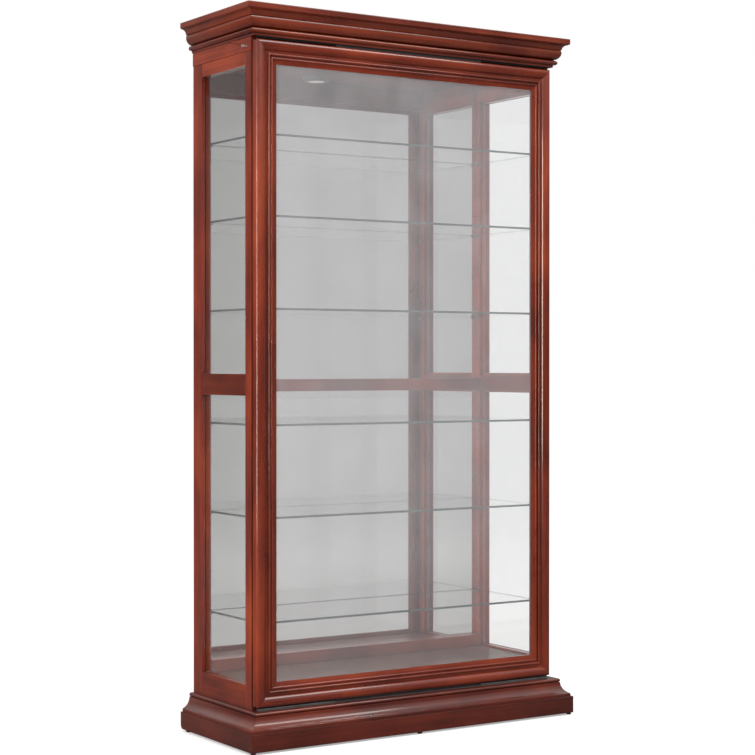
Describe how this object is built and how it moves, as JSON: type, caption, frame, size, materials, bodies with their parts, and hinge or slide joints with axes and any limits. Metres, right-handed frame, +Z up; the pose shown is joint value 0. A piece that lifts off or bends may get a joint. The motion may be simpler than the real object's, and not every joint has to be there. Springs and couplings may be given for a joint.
{
  "type": "curio cabinet",
  "caption": "Tall lighted display cabinet in red-brown wood with a mirrored back, glass sides and shelves, and a framed glass front that slides both ways.",
  "frame": {"origin": "centre of the footprint on the floor, under the glides", "axes": "+Z up, -Y to the front with the sliding door, +X to the right as seen from the front"},
  "size_m": [1.105, 0.419, 2.032],
  "materials": {
    "cherry_wood": "satin lacquer",
    "base_wood": "satin lacquer",
    "panel_board": "unfinished board",
    "mirror": "silvered",
    "pane_glass": "polished",
    "shelf_glass": "polished edge",
    "bright_steel": "zinc plated",
    "black_steel": "satin black",
    "nickel": "satin nickel",
    "frosted_lens": "frosted",
    "glide_plastic": "matt"
  },
  "bodies": {
    "cabinet": {"plinth_front": "base_wood", "plinth_left": "base_wood", "plinth_right": "base_wood", "plinth_back": "base_wood", "base_mould_front": "cherry_wood", "base_mould_left": "cherry_wood", "base_mould_right": "cherry_wood", "base_panel": "base_wood", "floor_glides": "glide_plastic", "left_rear_post": "cherry_wood", "right_rear_post": "cherry_wood", "left_front_post": "cherry_wood", "right_front_post": "cherry_wood", "left_bottom_rail": "cherry_wood", "left_mid_rail": "cherry_wood", "left_top_rail": "cherry_wood", "right_bottom_rail": "cherry_wood", "right_mid_rail": "cherry_wood", "right_top_rail": "cherry_wood", "left_frieze": "cherry_wood", "right_frieze": "cherry_wood", "front_bottom_rail": "cherry_wood", "front_header": "cherry_wood", "back_bottom_rail": "cherry_wood", "back_mid_rail": "cherry_wood", "back_panel": "panel_board", "lower_mirror": "mirror", "upper_mirror": "mirror", "deck": "cherry_wood", "ceiling_panel": "cherry_wood", "top_panel": "panel_board", "crown_front": "cherry_wood", "crown_left": "cherry_wood", "crown_right": "cherry_wood", "left_lower_glass": "pane_glass", "left_upper_glass": "pane_glass", "right_lower_glass": "pane_glass", "right_upper_glass": "pane_glass", "side_glass_stops": "cherry_wood", "shelf_1": "shelf_glass", "shelf_2": "shelf_glass", "shelf_3": "shelf_glass", "shelf_4": "shelf_glass", "shelf_5": "shelf_glass", "shelf_6": "shelf_glass", "shelf_pins": "bright_steel", "light_housing": "nickel", "light_lens": "frosted_lens", "switch_body": "nickel", "slide_cabinet_rails": "bright_steel"},
    "door": {"door_left_stile": "cherry_wood", "door_right_stile": "cherry_wood", "door_bottom_rail": "cherry_wood", "door_top_rail": "cherry_wood", "door_glass": "pane_glass", "slide_door_rails": "bright_steel"},
    "slide_carriage": {"slide_carriages": "black_steel"},
    "cabinet_side_cages": {"slide_cabinet_cages": "bright_steel"},
    "door_side_cages": {"slide_door_cages": "bright_steel"},
    "light_button": {"switch_button": "nickel"}
  },
  "joints": [
    {"name": "door_slide", "type": "slide", "parent": "cabinet", "child": "door", "axis": [1, 0, 0], "range_m": [-0.48, 0.48]},
    {"name": "carriage_roll", "type": "slide", "parent": "cabinet", "child": "slide_carriage", "axis": [1, 0, 0], "range_m": [-0.24, 0.24]},
    {"name": "cabinet_cages_roll", "type": "slide", "parent": "cabinet", "child": "cabinet_side_cages", "axis": [1, 0, 0], "range_m": [-0.12, 0.12]},
    {"name": "door_cages_roll", "type": "slide", "parent": "cabinet", "child": "door_side_cages", "axis": [1, 0, 0], "range_m": [-0.36, 0.36]},
    {"name": "light_button_press", "type": "slide", "parent": "cabinet", "child": "light_button", "axis": [1, 0, 0], "range_m": [0, 0.003], "stiffness_N_per_m": 450, "springref_m": -0.002}
  ],
  "couplings": [
    {"joint": "carriage_roll", "follows": "door_slide", "ratio": 0.5},
    {"joint": "cabinet_cages_roll", "follows": "door_slide", "ratio": 0.25},
    {"joint": "door_cages_roll", "follows": "door_slide", "ratio": 0.75}
  ]
}
